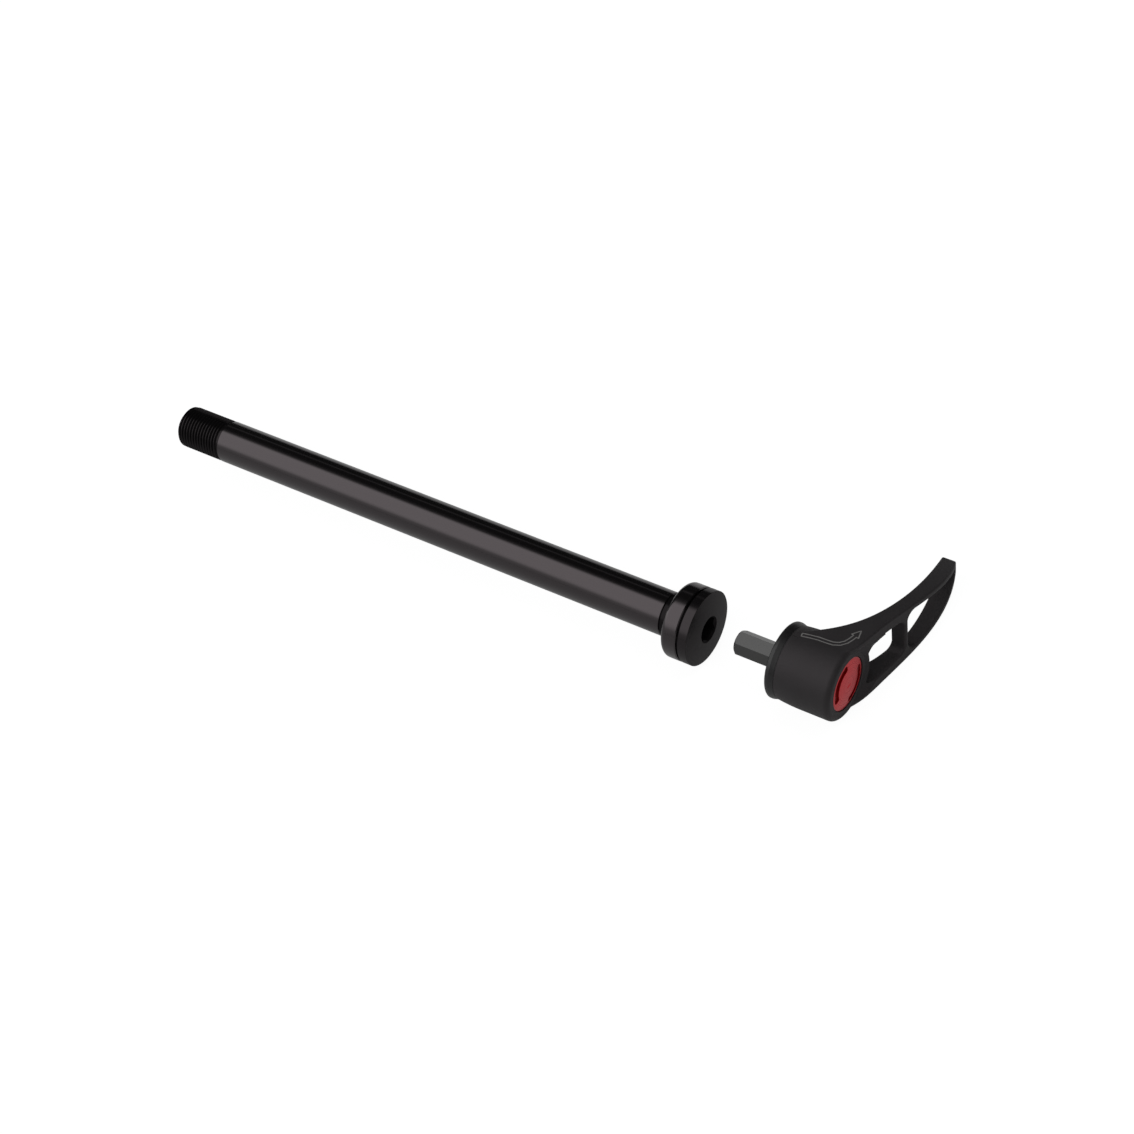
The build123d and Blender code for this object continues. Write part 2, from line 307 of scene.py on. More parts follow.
@dataclass(frozen=True)
class TurnedBlack(Finish):
    """Black anodised turning: polished along the shaft, more matt on the head, the thread and in recesses.

    Stations along the axis and radii are in millimetres.
    """

    deep: Colour = (0.0016, 0.0015, 0.0016)
    pale: Colour = (0.0042, 0.0039, 0.0041)
    matt: Colour = (0.0062, 0.0057, 0.0061)
    gloss: float = 0.11
    satin: float = 0.34
    specular: float = 0.62
    rings: Pattern = Pattern(3.2, 3.0)
    ring_slant: float = 1.7
    ring_rough: float = 0.05
    streaks: Pattern = Pattern(0.25, 3.0)
    streak_rough: float = 0.03
    marks: Marks = Marks(0.25, 0.02)
    thread_end: float = -150.9
    thread_fade: float = 0.2
    thread_share: float = 0.75
    relief_start: float = -2.8
    relief_end: float = 0.0
    socket_r: float = 3.72
    recess_share: float = 0.85
    head_start: float = 5.0
    head_share: float = 0.5
    face_start: float = 7.83
    face_end: float = 7.98

    def sockets(self, graph: Graph) -> Dict[str, Any]:
        """Fine rings round the axis and a satin front face.

        Args:
            graph: the material's node tree.

        Returns:
            Values and links by socket name.
        """
        place = graph.place()
        x, y, z = graph.axes(place)
        radius = graph.from_axis(y, z)
        rings = graph.lines(x + radius * self.ring_slant, self.rings)
        streaks = graph.noise(place, self.streaks)
        on_face = graph.smooth_step(x, self.face_start, self.face_end)
        polished = self.gloss + rings * self.ring_rough + streaks * self.streak_rough
        return {
            "Base Color": graph.mix(rings, self.deep, self.pale),
            "Roughness": polished + on_face * (self.satin - self.gloss),
            "Specular IOR Level": self.specular,
            "Specular Tint": ANODISE_TINT,
            "Normal": graph.bump(rings, self.marks),
        }

    def surface(self, graph: Graph) -> Value:
        """Gloss that gives way to a matt black on the thread and the head, and in the relief and the socket.

        Args:
            graph: the material's node tree.

        Returns:
            The surface shader.
        """
        x, y, z = graph.axes(graph.place())
        fade_start = self.thread_end + self.thread_fade
        on_thread = graph.smooth_step(x, fade_start, self.thread_end - self.thread_fade)
        in_relief = (x > self.relief_start) * (x < self.relief_end)
        in_socket = (y * y + z * z) < self.socket_r ** 2
        recessed = graph.math("MAXIMUM", in_relief, in_socket)
        on_head = x > self.head_start
        outside = graph.math("MAXIMUM", on_thread * self.thread_share, on_head * self.head_share)
        share = graph.math("MAXIMUM", outside, recessed * self.recess_share)
        matt = graph.node("ShaderNodeBsdfDiffuse", None, {"Color": (*self.matt, 1.0)})
        return graph.node("ShaderNodeMixShader", None, {0: share, 1: super().surface(graph), 2: matt})


@dataclass(frozen=True)
class BlastedBlack(Finish):
    """Bead-blasted, satin black anodised forging."""

    deep: Colour = (0.0172, 0.0162, 0.0168)
    pale: Colour = (0.0305, 0.0288, 0.0300)
    rough: float = 0.46
    specular: float = 0.2
    grain: Pattern = Pattern(9.0, 2.0)
    grain_share: float = 0.4
    grain_rough: float = 0.06
    clouds: Pattern = Pattern(0.22, 3.0)
    cloud_share: float = 0.6
    cloud_rough: float = 0.1
    marks: Marks = Marks(0.35, 0.03)

    def sockets(self, graph: Graph) -> Dict[str, Any]:
        """Grain of the blasting and faint clouds of handling.

        Args:
            graph: the material's node tree.

        Returns:
            Values and links by socket name.
        """
        place = graph.place()
        grain = graph.noise(place, self.grain)
        clouds = graph.noise(place, self.clouds)
        share = clouds * self.cloud_share + grain * self.grain_share
        return {
            "Base Color": graph.mix(share, self.deep, self.pale),
            "Roughness": self.rough + clouds * self.cloud_rough + grain * self.grain_rough,
            "Specular IOR Level": self.specular,
            "Specular Tint": ANODISE_TINT,
            "Normal": graph.bump(grain, self.marks),
        }


@dataclass(frozen=True)
class DrawnSteel(Finish):
    """Satin steel with drawing lines along the bar."""

    deep: Colour = (0.30, 0.29, 0.28)
    pale: Colour = (0.48, 0.47, 0.46)
    metallic: float = 1.0
    rough: float = 0.34
    specular: float = 0.5
    drawn: Pattern = Pattern(5.0, 3.0)
    drawn_slant: float = 1.3
    drawn_share: float = 0.5
    drawn_rough: float = 0.1
    clouds: Pattern = Pattern(0.5, 3.0)
    cloud_share: float = 0.5
    cloud_rough: float = 0.08
    marks: Marks = Marks(0.2, 0.015)

    def sockets(self, graph: Graph) -> Dict[str, Any]:
        """Lines along the axis over slow clouds.

        Args:
            graph: the material's node tree.

        Returns:
            Values and links by socket name.
        """
        place = graph.place()
        _, y, z = graph.axes(place)
        drawn = graph.lines(y * self.drawn_slant + z, self.drawn)
        clouds = graph.noise(place, self.clouds)
        share = drawn * self.drawn_share + clouds * self.cloud_share
        return {
            "Base Color": graph.mix(share, self.deep, self.pale),
            "Metallic": self.metallic,
            "Roughness": self.rough + drawn * self.drawn_rough + clouds * self.cloud_rough,
            "Specular IOR Level": self.specular,
            "Normal": graph.bump(drawn, self.marks),
        }


@dataclass(frozen=True)
class BlackOxide(Finish):
    """Black oxide on turned steel."""

    deep: Colour = (0.006, 0.006, 0.0063)
    pale: Colour = (0.015, 0.0143, 0.015)
    rough: float = 0.3
    specular: float = 0.36
    rings: Pattern = Pattern(4.0, 3.0)
    ring_slant: float = 1.4
    ring_rough: float = 0.08
    mottle: Pattern = Pattern(0.8, 4.0)
    mottle_rough: float = 0.06
    marks: Marks = Marks(0.25, 0.02)

    def sockets(self, graph: Graph) -> Dict[str, Any]:
        """Tool rings and a mottled oxide.

        Args:
            graph: the material's node tree.

        Returns:
            Values and links by socket name.
        """
        place = graph.place()
        x, y, z = graph.axes(place)
        radius = graph.from_axis(y, z)
        rings = graph.lines(x * self.ring_slant + radius, self.rings)
        mottle = graph.noise(place, self.mottle)
        return {
            "Base Color": graph.mix(mottle, self.deep, self.pale),
            "Roughness": self.rough + rings * self.ring_rough + mottle * self.mottle_rough,
            "Specular IOR Level": self.specular,
            "Normal": graph.bump(rings, self.marks),
        }


@dataclass(frozen=True)
class TurnedRed(Finish):
    """Bright red anodised cap, turned on its domed face, with painted shade in its slots and a painted
    highlight round its edge.

    Stations along the axis, radii and depths below the dome are in millimetres.
    """

    red: Colour = (0.56, 0.010, 0.018)
    lit: Colour = (0.70, 0.026, 0.034)
    # Painted shade: a darker red for the slots' floors and walls.
    slot_shade_colour: Colour = (0.26, 0.001, 0.002)
    # Painted highlight: a pale pink band on the chamfer round the cap's edge.
    edge: Colour = (0.74, 0.16, 0.17)
    apex_x: float = 49.19
    dome_r: float = 50.66
    slot_inner_r: float = 4.5
    slot_outer_r: float = 6.55
    slot_top: float = 0.05
    slot_floor: float = 0.11
    edge_r: float = 7.02
    metallic: float = 0.45
    rough: float = 0.24
    specular: float = 0.3
    rings: Pattern = Pattern(6.0, 3.0)
    ring_rough: float = 0.1
    marks: Marks = Marks(0.2, 0.015)

    def sockets(self, graph: Graph) -> Dict[str, Any]:
        """Turning rings, a painted highlight on the chamfer round the edge, and painted shade in the slots.

        Args:
            graph: the material's node tree.

        Returns:
            Values and links by socket name.
        """
        x, y, z = graph.axes(graph.place())
        radius = graph.from_axis(y, z)
        rings = graph.lines(radius, self.rings)
        depth = self.apex_x - radius * radius * (0.5 / self.dome_r) - x
        in_ring = (radius > self.slot_inner_r) * (radius < self.slot_outer_r)
        # Painted shade: the slots get darker with depth below the dome.
        slot_shade_share = graph.smooth_step(depth, self.slot_top, self.slot_floor) * in_ring
        turned = graph.mix(rings, self.red, self.lit)
        # Painted highlight: beyond edge_r the turned red gives way to the pale band.
        flat = graph.mix(radius > self.edge_r, turned, self.edge)
        return {
            "Base Color": graph.mix(slot_shade_share, flat, self.slot_shade_colour),
            "Metallic": self.metallic,
            "Roughness": self.rough + rings * self.ring_rough,
            "Specular IOR Level": self.specular,
            "Normal": graph.bump(rings, self.marks),
        }


@dataclass(frozen=True)
class MouldedRubber(Finish):
    """Matt black rubber ring."""

    deep: Colour = (0.010, 0.010, 0.010)
    pale: Colour = (0.024, 0.023, 0.022)
    rough: float = 0.62
    specular: float = 0.3
    bloom: Pattern = Pattern(2.0, 4.0)
    bloom_rough: float = 0.15
    marks: Marks = Marks(0.2, 0.02)

    def sockets(self, graph: Graph) -> Dict[str, Any]:
        """Powdery surface.

        Args:
            graph: the material's node tree.

        Returns:
            Values and links by socket name.
        """
        bloom = graph.noise(graph.place(), self.bloom)
        return {
            "Base Color": graph.mix(bloom, self.deep, self.pale),
            "Roughness": self.rough + bloom * self.bloom_rough,
            "Specular IOR Level": self.specular,
            "Normal": graph.bump(bloom, self.marks),
        }


@dataclass(frozen=True)
class LaserBared(Finish):
    """Anodising bleached by a laser."""

    deep: Colour = (0.10, 0.097, 0.095)
    pale: Colour = (0.22, 0.215, 0.21)
    rough: float = 0.55
    specular: float = 0.3
    spots: Pattern = Pattern(14.0, 1.0)
    spot_rough: float = 0.2

    def sockets(self, graph: Graph) -> Dict[str, Any]:
        """Spots of the laser's pulses.

        Args:
            graph: the material's node tree.

        Returns:
            Values and links by socket name.
        """
        spots = graph.noise(graph.place(), self.spots)
        return {
            "Base Color": graph.mix(spots, self.deep, self.pale),
            "Roughness": self.rough + spots * self.spot_rough,
            "Specular IOR Level": self.specular,
        }


TURNED_BLACK = TurnedBlack("turned_black")
BLASTED_BLACK = BlastedBlack("blasted_black")
BRIGHT_STEEL = DrawnSteel("bright_steel")
DARK_STEEL = DrawnSteel(
    "dark_steel",
    deep=(0.005, 0.0046, 0.0042),
    pale=(0.009, 0.0083, 0.0078),
    metallic=0.0,
    rough=0.1,
    specular=0.7,
)
LASER_BARED = LaserBared("laser_bared")
BLACK_OXIDE = BlackOxide("black_oxide")
TURNED_RED = TurnedRed("turned_red")
MOULDED_RUBBER = MouldedRubber("moulded_rubber")


def bezier_point(controls: Sequence[Vector], share: float) -> Vector:
    """Find a point of a Bezier curve.

    Args:
        controls: the curve's control points.
        share: from 0 at its start to 1 at its end.

    Returns:
        The point.
    """
    while len(controls) > 1:
        controls = [start.lerp(end, share) for start, end in zip(controls, controls[1:])]
    return controls[0]


def turn_of(point: Vector) -> float:
    """Angle of a point round the axle's axis, in radians."""
    return math.atan2(point.z, point.y)


def swept_mesh(sections: Sequence[Sequence[Vector]], closed: bool) -> bmesh.types.BMesh:
    """Join sections of equally many points into a swept body.

    Args:
        sections: loops of points, in order along the sweep.
        closed: whether the last section joins the first again; if not, both ends are capped.

    Returns:
        The body's mesh.
    """
    mesh = bmesh.new()
    rows = [[mesh.verts.new(corner) for corner in section] for section in sections]
    sides = len(rows[0])
    for first, second in zip(rows, rows[1:] + rows[:1] if closed else rows[1:]):
        for side in range(sides):
            after = (side + 1) % sides
            mesh.faces.new((first[side], first[after], second[after], second[side]))
    if not closed:
        mesh.faces.new(rows[0])
        mesh.faces.new(reversed(rows[-1]))
    return mesh


def dress(node: str, finish: Finish) -> None:
    """Give a node of the frame its finish.

    Args:
        node: the node's name.
        finish: its surface.
    """
    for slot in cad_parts[node].material_slots:
        slot.material = finish.material()
    LOG.info("%s dressed in %s", node, finish.name)


def piece_from_mesh(
    name: str,
    mesh: bmesh.types.BMesh,
    finish: Finish,
    body: Body,
) -> bpy.types.Object:
    """Turn a bmesh into a piece that rides on a body.

    Args:
        name: the piece's name.
        mesh: its geometry, freed here.
        finish: its surface.
        body: the body that it moves with.

    Returns:
        The new object.
    """
    bmesh.ops.recalc_face_normals(mesh, faces=mesh.faces)
    data = bpy.data.meshes.new(name)
    mesh.to_mesh(data)
    mesh.free()
    data.shade_smooth()
    data.set_sharp_from_angle(angle=SHARP_ANGLE)
    data.materials.append(finish.material())
    return piece_from_data(name, data, body)


def piece_from_data(name: str, data: bpy.types.Mesh, body: Body) -> bpy.types.Object:
    """Turn finished mesh data into a piece that rides on a body.

    Args:
        name: the piece's name.
        data: its mesh, with its material.
        body: the body that it moves with.

    Returns:
        The new object.
    """
    made = bpy.data.objects.new(name, data)
    bpy.context.scene.collection.objects.link(made)
    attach(made, body.value)
    LOG.info("%s made with %d faces", name, len(data.polygons))
    return made


@dataclass
class ScrewThread:
    """Turns of a fine metric thread on the core at the axle's end, in millimetres."""

    start: float = -166.0
    length: float = 15.0
    pitch: float = 1.0
    core_r: float = 5.42
    crest_r: float = 5.95
    sink: float = 0.06
    root_half: float = 0.44
    crest_half: float = 0.08
    lead_in: float = 1.2
    lead_in_r: float = 5.62
    run_out: float = 0.5
    steps_per_turn: int = 72

    def crest_at(self, x: float) -> float:
        """Find the height of the crest, which is lower along the lead-in and the run-out.

        Args:
            x: station along the axis.

        Returns:
            The crest's radius.
        """
        led = self.lead_in_r + (x - self.start) / self.lead_in * (self.crest_r - self.lead_in_r)
        left = (self.start + self.length - x) / self.run_out
        faded = self.core_r + max(0.0, min(1.0, left)) * (self.crest_r - self.core_r)
        return min(self.crest_r, led, faded)

    def section(self, turns: float) -> List[Vector]:
        """Cut the ridge.

        Args:
            turns: number of turns from the start.

        Returns:
            Corners of the cut, in metres.
        """
        angle = FULL_TURN * turns
        middle = self.start + self.root_half + turns * self.pitch
        base = self.core_r - self.sink
        crest = max(self.crest_at(middle), base + self.sink / 2)
        outline = (
            (-self.root_half, base),
            (-self.crest_half, crest),
            (self.crest_half, crest),
            (self.root_half, base),
        )
        return [
            Vector((middle + dx, radius * math.cos(angle), radius * math.sin(angle))) * MM
            for dx, radius in outline
        ]

    def build(self) -> bpy.types.Object:
        """Sweep the ridge along its helix and close both ends.

        Returns:
            The thread's piece.
        """
        turns = (self.length - 2 * self.root_half) / self.pitch
        count = round(turns * self.steps_per_turn)
        sections = [self.section(turns * step / count) for step in range(count + 1)]
        mesh = swept_mesh(sections, closed=False)
        return piece_from_mesh("screw_thread", mesh, TURNED_BLACK, Body.AXLE)


@dataclass
class TurnedShaft:
    """The shaft, with a longer relief under its head than the frame's and a domed front face.

    Stations along the axis and radii are in millimetres.
    """

    node: str = "axle_shaft"
    frame_shoulder_x: float = -1.6
    shoulder_x: float = -3.0
    shaft_r: float = 6.0
    relief_depth: float = 0.3
    rim_start_x: float = 5.5
    rim_end_x: float = 7.85
    rim_break: float = 0.12
    front_x: float = 8.7
    head_r: float = 10.2
    socket_r: float = 3.7
    near: float = 0.03
    turn_digits: int = 4
    dome_steps: int = 16
    turn_steps: int = 144

    def on_shoulder(self, point: Vector) -> bool:
        """Whether a point of the frame's shaft lies on the relief's shoulder."""
        return abs(point.x / MM - self.frame_shoulder_x) < self.near

    def on_head(self, point: Vector) -> bool:
        """Whether a point of the frame's shaft lies on the head's rim or front face."""
        ahead = point.x / MM > self.rim_start_x - self.near
        return ahead and point.yz.length / MM > self.socket_r - self.near

    def moved(self, point: Vector) -> Vector:
        """Draw a point of the frame's shaft back with the shoulder if it lies on it.

        Args:
            point: the point, in metres.

        Returns:
            Its new place.
        """
        if not self.on_shoulder(point):
            return point.copy()
        inside = point.yz.length / MM < self.shaft_r - self.relief_depth / 2
        return Vector(((self.shoulder_x + (self.relief_depth if inside else 0.0)) * MM, point.y, point.z))

    def profile(self) -> List[Tuple[float, float, float]]:
        """Draw the rim and the domed face up to the socket.

        Returns:
            Stations, radii and slopes along the line.
        """
        edge_x = self.rim_end_x + self.rim_break
        edge_r = self.head_r - self.rim_break
        dome_r = (edge_r ** 2 - self.socket_r ** 2) / (2 * (self.front_x - edge_x))
        line = [(self.rim_start_x, self.head_r, 0.0), (self.rim_end_x, self.head_r, 0.0)]
        for step in range(self.dome_steps + 1):
            radius = edge_r + (self.socket_r - edge_r) * step / self.dome_steps
            x = self.front_x - (radius ** 2 - self.socket_r ** 2) / (2 * dome_r)
            line.append((x, radius, math.acos(radius / dome_r)))
        return line

    def kept(self, source: bpy.types.Mesh) -> Tuple[List[Vector], List[List[int]], List[Vector]]:
        """Take over the frame's shaft without the head's rim and front face.

        Args:
            source: the mesh of the frame's shaft.

        Returns:
            Its points, with the shoulder drawn back, its faces and its corner normals.
        """
        points: List[Vector] = []
        places: Dict[int, int] = {}
        faces = []
        normals = []
        for face in source.polygons:
            corners = [source.vertices[index].co for index in face.vertices]
            if all(self.on_head(corner) for corner in corners):
                continue
            for index, corner in zip(face.vertices, corners):
                if index not in places:
                    places[index] = len(points)
                    points.append(self.moved(corner))
            faces.append([places[index] for index in face.vertices])
            if all(self.on_shoulder(corner) for corner in corners):
                normals += [Vector((1.0, *corner.yz.normalized())).normalized() for corner in corners]
            else:
                normals += [source.corner_normals[loop].vector.copy() for loop in face.loop_indices]
        return points, faces, normals

    def ring(self, points: Sequence[Vector], x: float, radius: float) -> List[int]:
        """Find a ring of the frame's shaft.

        Args:
            points: the points that were taken over.
            x: the ring's station.
            radius: its radius.

        Returns:
            Indices of its points, in order round the axis.
        """
        found: Dict[float, int] = {}
        for index, point in enumerate(points):
            if math.hypot(point.x / MM - x, point.yz.length / MM - radius) < self.near:
                found.setdefault(round(turn_of(point), self.turn_digits), index)
        return [found[turn] for turn in sorted(found)]

    @staticmethod
    def strip(
        points: Sequence[Vector],
        first: Sequence[int],
        second: Sequence[int],
    ) -> List[Tuple[int, int, int]]:
        """Join two rings of points, whose counts may differ.

        Args:
            points: all points.
            first: indices of the one ring, in order round the axis.
            second: indices of the other ring.

        Returns:
            Corners of the triangles between them.
        """
        first_turns = [turn_of(points[index]) for index in first]
        second_turns = [turn_of(points[index]) for index in second]
        first_turns.append(first_turns[0] + FULL_TURN)
        second_turns.append(second_turns[0] + FULL_TURN)
        triangles = []
        one = 0
        two = 0
        while one < len(first) or two < len(second):
            near_one = first[one % len(first)]
            near_two = second[two % len(second)]
            second_done = two == len(second)
            if second_done or (one < len(first) and first_turns[one + 1] <= second_turns[two + 1]):
                one += 1
                triangles.append((near_one, first[one % len(first)], near_two))
            else:
                two += 1
                triangles.append((near_one, second[two % len(second)], near_two))
        return triangles

    def build(self) -> bpy.types.Object:
        """Copy the shaft with the longer relief and turn the head's rim and face anew.

        Returns:
            The shaft's piece, in place of its node.
        """
        points, faces, normals = self.kept(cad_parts[self.node].data)
        turns = [FULL_TURN * (step / self.turn_steps - 0.5) for step in range(self.turn_steps)]
        line = self.profile()
        rim_start = self.ring(points, *line[0][:2])
        socket_edge = self.ring(points, *line[-1][:2])
        rings = [rim_start]
        for x, radius, _ in line[1:-1]:
            rings.append(list(range(len(points), len(points) + self.turn_steps)))
            points += [Vector((x, radius * math.cos(turn), radius * math.sin(turn))) * MM for turn in turns]
        rings.append(socket_edge)
        slopes = {index: slope for ring, (_, _, slope) in zip(rings, line) for index in ring}
        for first, second in zip(rings, rings[1:]):
            for corners in self.strip(points, first, second):
                faces.append(list(corners))
                for index in corners:
                    out = points[index].yz.normalized() * math.cos(slopes[index])
                    normals.append(Vector((math.sin(slopes[index]), *out)))
        data = bpy.data.meshes.new("turned_shaft")
        data.from_pydata(points, [], faces)
        data.shade_smooth()
        data.normals_split_custom_set(normals)
        data.materials.append(TURNED_BLACK.material())
        made = piece_from_data("turned_shaft", data, Body.AXLE)
        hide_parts(self.node)
        return made


@dataclass
class Axle:
    """The axle with its thread, its clamping washer and the washer's ring."""

    thread: ScrewThread
    shaft: TurnedShaft

    def build(self) -> None:
        """Turn the shaft, cut its thread and dress the axle's nodes."""
        self.shaft.build()
        self.thread.build()
        dress("axle_shaft", TURNED_BLACK)
        dress("clamp_washer", TURNED_BLACK)
        dress("washer_ring", MOULDED_RUBBER)


@dataclass
class ReturnSpring:
    """The stem's return spring, which a pull on the lever shortens towards its fixed end, in millimetres."""

    node: str = "return_spring"
    joint: str = "lever_pull"
    fixed_x: float = 44.24
    travel: float = 3.8

    def build(self) -> bpy.types.Object:
        """Copy the spring in place of its node.

        Returns:
            The spring's piece, in place of its node.
        """
        length = self.fixed_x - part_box(self.node)[0].x / MM
        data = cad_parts[self.node].data.copy()
        data.materials.clear()
        data.materials.append(BRIGHT_STEEL.material())
        made = piece_from_data("coil_spring", data, Body.STEM)
        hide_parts(self.node)
        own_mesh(made)
        return made


@dataclass
class Stem:
    """The hex stem with the pieces that hold the lever on it."""

    spring: ReturnSpring

    def build(self) -> None:
        """Copy the spring and dress the stem's nodes."""
        self.spring.build()
        dress("hex_stem", DARK_STEEL)
        for node in ("return_spring", "retaining_washer", "thrust_washer"):
            dress(node, BRIGHT_STEEL)
        dress("retaining_screw", BLACK_OXIDE)


@dataclass
class LeverFrame:
    """The lever's own frame, in millimetres and degrees.

    It counts x beyond the flange's face, reach along the arm and height across it.
    """

    flange_x: float = 30.64
    turn: float = -7.6
    node: str = "lever_body"

    def to_row(self, x: float, reach: float, height: float) -> Vector:
        """A point of the lever in the row's frame, in metres."""
        return self.turned(Vector((x + self.flange_x, reach, height))) * MM

    def turned(self, way: Vector) -> Vector:
        """A direction of the lever in the row's frame."""
        return Matrix.Rotation(math.radians(self.turn), 3, "X") @ way

    def surface(self) -> BVHTree:
        """Make the lever's surface ready for rays.

        Returns:
            The surface.
        """
        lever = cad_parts[self.node].data
        corners = [vertex.co for vertex in lever.vertices]
        return BVHTree.FromPolygons(corners, [polygon.vertices for polygon in lever.polygons])


@dataclass
class WindowCorner:
    """Corner of the near window between the boss and the upper rail, filled to its slanted end.

    The window's edge, and a line behind it that lies inside the forging, are given by reaches and heights
    in millimetres of the lever's own frame.
    """

    own: LeverFrame
    edge: Sequence[Tuple[float, float]] = (
        (9.45, 1.7), (9.55, 2.6), (9.72, 3.6), (9.95, 4.6), (10.22, 5.4),
        (10.62, 5.98), (11.2, 6.25), (12.0, 6.3), (13.0, 6.22), (14.0, 6.15),
    )
    behind: Sequence[Tuple[float, float]] = (
        (8.85, 1.5), (8.6, 2.3), (8.3, 3.2), (7.8, 4.2), (7.1, 5.4),
        (6.4, 6.3), (7.4, 7.4), (9.4, 7.4), (12.0, 7.3), (14.0, 7.2),
    )
    rail: float = 8.2
    dish_x: float = 18.3
    dish_r: float = 8.6
    dish_slope: float = 3.2 / 5.4
    bevel: float = 0.2
    lift: float = 0.02
    columns: int = 8
    refine: int = 4
    handle_share: float = 1.0 / 6.0
    far: float = 60.0

    def face_x(self, surface: BVHTree, reach: float, face: Face) -> float:
        """Feel for one of the arm's broad faces on the rail.

        Args:
            surface: the lever's surface.
            reach: distance along the arm.
            face: the face.

        Returns:
            Its station.
        """
        start = self.own.to_row(-self.far * face.value, reach, self.rail)
        hit = surface.ray_cast(start, Vector((face.value, 0.0, 0.0)))[0]
        return hit.x / MM - self.own.flange_x

    def top_x(self, surface: BVHTree, point: Vector) -> float:
        """Station of the outer face at a point, where the dish round the cap cuts it."""
        dish = self.dish_x + (point.length - self.dish_r) * self.dish_slope
        return min(self.face_x(surface, point.x, Face.OUTER), dish)

    def refined(self, line: Sequence[Tuple[float, float]]) -> List[Vector]:
        """Draw a smooth line through points.

        Args:
            line: reaches and heights of the points.

        Returns:
            The same points with even steps between them.
        """
        points = [Vector(point) for point in line]
        padded = [2 * points[0] - points[1]] + points + [2 * points[-1] - points[-2]]
        smooth = []
        for before, start, end, after in zip(padded, padded[1:], padded[2:], padded[3:]):
            leave = start + (end - before) * self.handle_share
            arrive = end - (after - start) * self.handle_share
            for step in range(self.refine):
                smooth.append(bezier_point((start, leave, arrive, end), step / self.refine))
        return smooth + [points[-1]]

    def section(self, surface: BVHTree, edge: Vector, behind: Vector) -> List[Vector]:
        """Cut the fill at one place of the window's edge.

        Args:
            surface: the lever's surface.
            edge: reach and height of the place.
            behind: reach and height of the point behind it.

        Returns:
            Loop of points round the cut, in the row's frame.
        """
        back = (behind - edge).normalized() * self.bevel
        flat = [edge + back]
        flat += [(edge + back).lerp(behind, step / self.columns) for step in range(1, self.columns + 1)]
        top = [(self.top_x(surface, point) + self.lift, point) for point in flat]
        low = [(self.face_x(surface, point.x, Face.INNER) + self.lift, point) for point in flat[::-1]]
        shoulder = (top[0][0] - self.bevel, edge)
        foot = (low[-1][0] + self.bevel, edge)
        loop = [shoulder] + top + low + [foot]
        return [self.own.to_row(x, point.x, point.y) for x, point in loop]

    def build(self) -> bpy.types.Object:
        """Sweep the section along the window's edge.

        Returns:
            The corner's piece.
        """
        surface = self.own.surface()
        lines = zip(self.refined(self.edge), self.refined(self.behind))
        mesh = swept_mesh([self.section(surface, edge, behind) for edge, behind in lines], closed=False)
        return piece_from_mesh("window_corner", mesh, BLASTED_BLACK, Body.LEVER)


@dataclass
class TurnArrow:
    """Outline of a plain bent arrow on the lever's upper side, in millimetres of the lever's own frame.

    The middle line is given by stations beyond the flange's face and reaches along the arm.
    """

    own: LeverFrame
    middle: Sequence[Tuple[float, float]] = (
        (5.0, 1.15), (7.0, 1.55), (9.3, 1.9), (11.4, 1.95), (13.3, 2.1),
        (14.8, 2.75), (15.9, 4.0), (16.4, 5.3), (16.8, 6.8),
    )
    tip: Tuple[float, float] = (17.25, 9.2)
    half_width: float = 0.5
    head_half_width: float = 1.15
    line: float = 0.3
    spacing: float = 0.3
    lift: float = 0.012
    sink: float = 0.04
    above: float = 20.0

    def outline(self) -> List[Vector]:
        """Draw the arrow along one side, round the head and back along the other.

        Returns:
            Its corners.
        """
        points = [Vector(point) for point in self.middle]
        ways = [(after - before).normalized() for before, after in zip(points, points[1:])]
        ways.append(ways[-1])
        sides = [Vector((-way.y, way.x)) for way in ways]
        left = [point + side * self.half_width for point, side in zip(points, sides)]
        right = [point - side * self.half_width for point, side in zip(points, sides)]
        wide = sides[-1] * self.head_half_width
        return left + [points[-1] + wide, Vector(self.tip), points[-1] - wide] + right[::-1]

    def path(self) -> List[Vector]:
        """Cut the outline into short, even steps.

        Returns:
            Stations and reaches along it.
        """
        corners = self.outline()
        steps = []
        for start, end in zip(corners, corners[1:] + corners[:1]):
            count = max(1, round((end - start).length / self.spacing))
            steps += [start.lerp(end, step / count) for step in range(count)]
        return steps

    def on_lever(self, surface: BVHTree, point: Vector) -> Tuple[Vector, Vector]:
        """Drop a point on the lever.

        Args:
            surface: the lever's surface.
            point: station and reach.

        Returns:
            The point on the surface and the surface's normal, in the row's frame.
        """
        start = self.own.to_row(point.x, point.y, self.above)
        hit, normal, _, _ = surface.ray_cast(start, self.own.turned(Vector((0.0, 0.0, -1.0))))
        return hit, normal

    def build(self) -> bpy.types.Object:
        """Lay a thin closed ribbon along the outline.

        Returns:
            The arrow's piece.
        """
        surface = self.own.surface()
        path = self.path()
        sections = []
        for before, point, after in zip(path[-1:] + path, path, path[1:] + path[:1]):
            way = (after - before).normalized()
            across = Vector((-way.y, way.x)) * self.line / 2
            one, up_one = self.on_lever(surface, point + across)
            two, up_two = self.on_lever(surface, point - across)
            sections.append((
                one + up_one * self.lift * MM,
                two + up_two * self.lift * MM,
                two - up_two * self.sink * MM,
                one - up_one * self.sink * MM,
            ))
        mesh = swept_mesh(sections, closed=True)
        return piece_from_mesh("turn_arrow", mesh, LASER_BARED, Body.LEVER)


@dataclass
class Lever:
    """The windowed lever with its ratchet sleeve and red cap."""

    corner: WindowCorner
    arrow: TurnArrow

    def build(self) -> None:
        """Fill the window's corner, mark the arrow and dress the lever's nodes."""
        self.corner.build()
        self.arrow.build()
        dress("lever_body", BLASTED_BLACK)
        dress("ratchet_sleeve", BLACK_OXIDE)
        dress("end_cap", TURNED_RED)
        dress("cap_seal", MOULDED_RUBBER)


